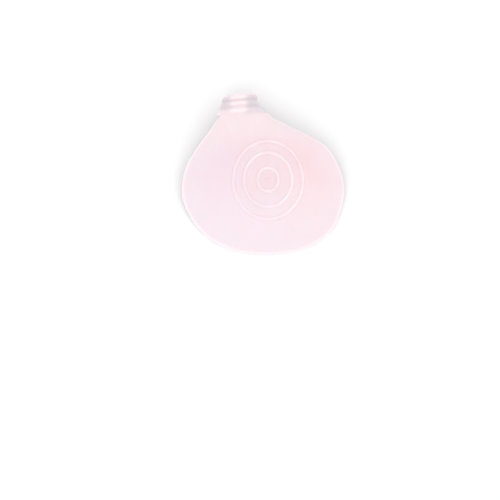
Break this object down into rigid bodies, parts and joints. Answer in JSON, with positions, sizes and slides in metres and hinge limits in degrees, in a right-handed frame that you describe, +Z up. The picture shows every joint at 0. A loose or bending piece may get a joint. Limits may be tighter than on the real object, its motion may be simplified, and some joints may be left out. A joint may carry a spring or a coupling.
{
  "type": "silicone metatarsal pad",
  "caption": "One-piece soft gel pad for the ball of the foot, with concentric raised ridges on its sole side and a ribbed loop that goes round the second toe",
  "frame": {"origin": "middle of the moulding's box, on the surface that it lies on", "axes": "+Z up, out of the ridged sole side; +Y towards the toes, where the loop is; +X towards the little-toe side of a left foot"},
  "size_m": [0.091, 0.0928, 0.0203],
  "materials": {
    "silicone": "soft milky translucent silicone, satin, faintly pink, whiter along the rim, ridges and ribs"
  },
  "bodies": {
    "root": {"metatarsal_pad": "silicone"}
  },
  "joints": []
}
